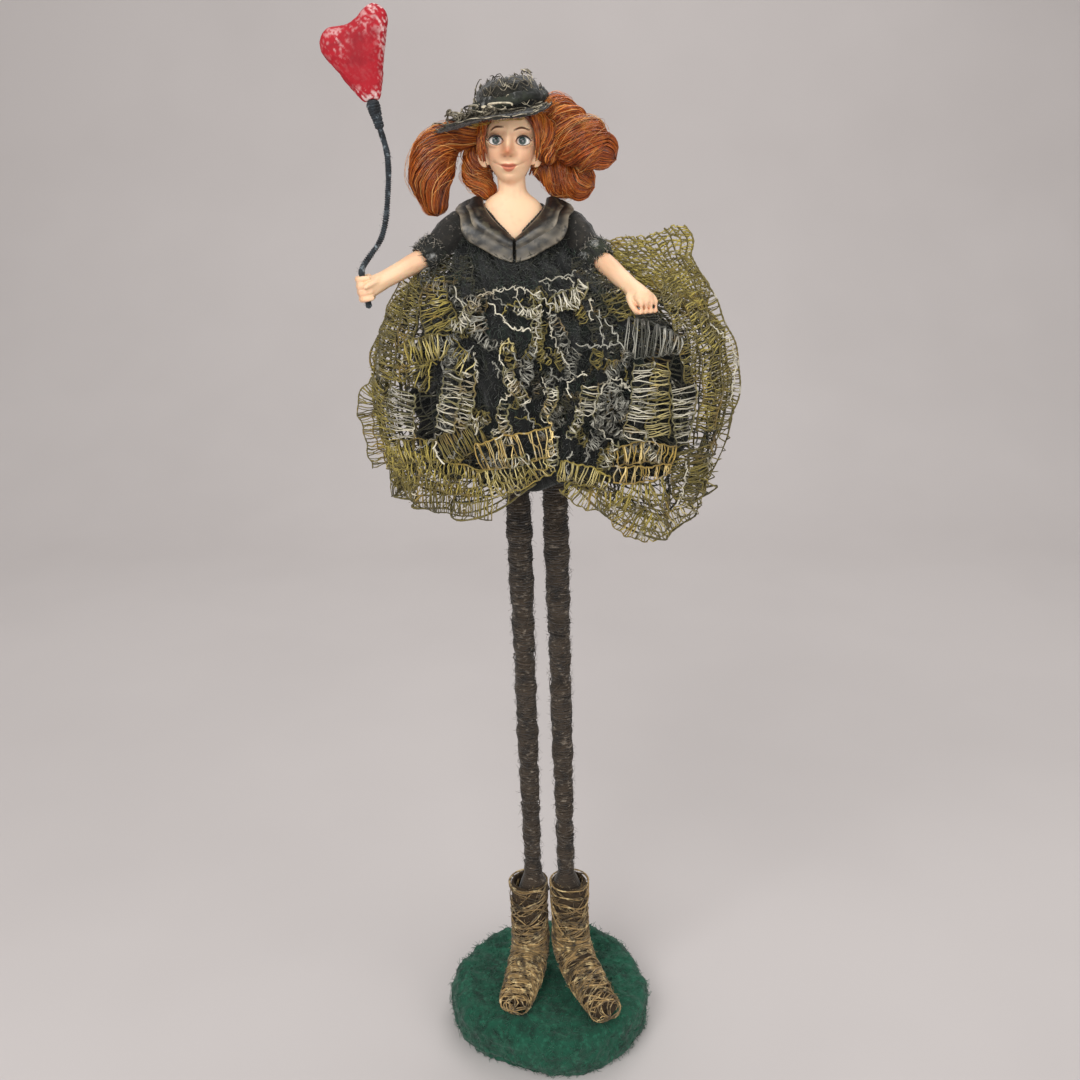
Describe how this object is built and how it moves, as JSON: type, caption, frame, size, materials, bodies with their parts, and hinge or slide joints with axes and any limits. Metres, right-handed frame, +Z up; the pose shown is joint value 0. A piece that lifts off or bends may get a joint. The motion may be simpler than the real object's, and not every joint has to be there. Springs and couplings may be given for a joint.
{
  "type": "clay doll",
  "caption": "Free-standing clay art doll of a girl with long yarn-wound legs on a felted base, in a net bubble skirt and slanted hat, holding a heart on a wire stem.",
  "frame": {"origin": "middle of the base's underside, on the surface that the doll stands on", "axes": "+Z up, from the base to the hat; the doll faces -Y, and +X is the doll's own left"},
  "size_m": [0.1898, 0.1162, 0.538],
  "materials": {
    "core_wood": "plain turned disc",
    "felt": "needle-felted wool",
    "wire": "drawn wire",
    "leg_yarn": "wound fuzzy yarn",
    "padding": "wound batting",
    "boot_thread": "wound gold thread",
    "dark_cloth": "matt black cloth",
    "satin": "dark satin with dry-brushed silver edges",
    "clay": "sanded polymer clay, blushed by hand",
    "eye": "painted and glazed",
    "hair": "curled glossy mohair",
    "hat_felt": "felt with dry-brushed threads",
    "dark_gauze": "crumpled dark net",
    "tulle": "crumpled tulle",
    "gauze": "olive and gold ladder net",
    "stem_thread": "tightly wound thread",
    "heart_red": "painted clay with dry-brushed white"
  },
  "bodies": {
    "doll": {"base_core": "core_wood", "base_felt": "felt", "right_leg_wire": "wire", "left_leg_wire": "wire", "right_leg_yarn": "leg_yarn", "left_leg_yarn": "leg_yarn", "right_foot_form": "padding", "left_foot_form": "padding", "right_boot_wrap": "boot_thread", "left_boot_wrap": "boot_thread", "torso_core": "padding", "spine_wire": "wire", "shoulder_wire": "wire", "bodice": "dark_cloth", "right_lapel": "satin", "left_lapel": "satin", "clay_bust": "clay", "right_eye": "eye", "left_eye": "eye", "hair_cap": "hair", "curl_right_long": "hair", "curl_right_inner": "hair", "curl_left_top": "hair", "curl_left_big": "hair", "curl_left_low": "hair", "curl_left_front": "hair", "hat_crown": "hat_felt", "hat_brim": "hat_felt", "hat_band": "dark_gauze", "petticoat_front": "tulle", "petticoat_back": "tulle", "skirt_right": "gauze", "skirt_left": "gauze", "skirt_back": "gauze", "skirt_right_wing": "gauze", "skirt_left_wing": "gauze", "front_frill_right": "dark_gauze", "front_frill_left": "dark_gauze"},
    "right_arm": {"right_sleeve": "dark_cloth", "right_cuff": "dark_gauze", "right_arm_wire": "wire", "right_hand": "clay"},
    "left_arm": {"left_sleeve": "dark_cloth", "left_cuff": "dark_gauze", "left_arm_wire": "wire", "left_hand": "clay"},
    "heart_stem": {"stem_wire": "wire", "stem_thread": "stem_thread", "stem_binding": "stem_thread", "heart": "heart_red"}
  },
  "joints": [
    {"name": "right_shoulder", "type": "hinge", "parent": "doll", "child": "right_arm", "pos_m": [-0.04318, 0, 0.444], "axis": [0, 1, 0], "range_deg": [0, 10]},
    {"name": "left_shoulder", "type": "hinge", "parent": "doll", "child": "left_arm", "pos_m": [0.00842, 0, 0.444], "axis": [0, -1, 0], "range_deg": [0, 25]},
    {"name": "stem_twist", "type": "hinge", "parent": "right_arm", "child": "heart_stem", "pos_m": [-0.08544, -0.01493, 0.4185], "axis": [-0.155, 0, 0.9879], "range_deg": [-20, 20]}
  ]
}
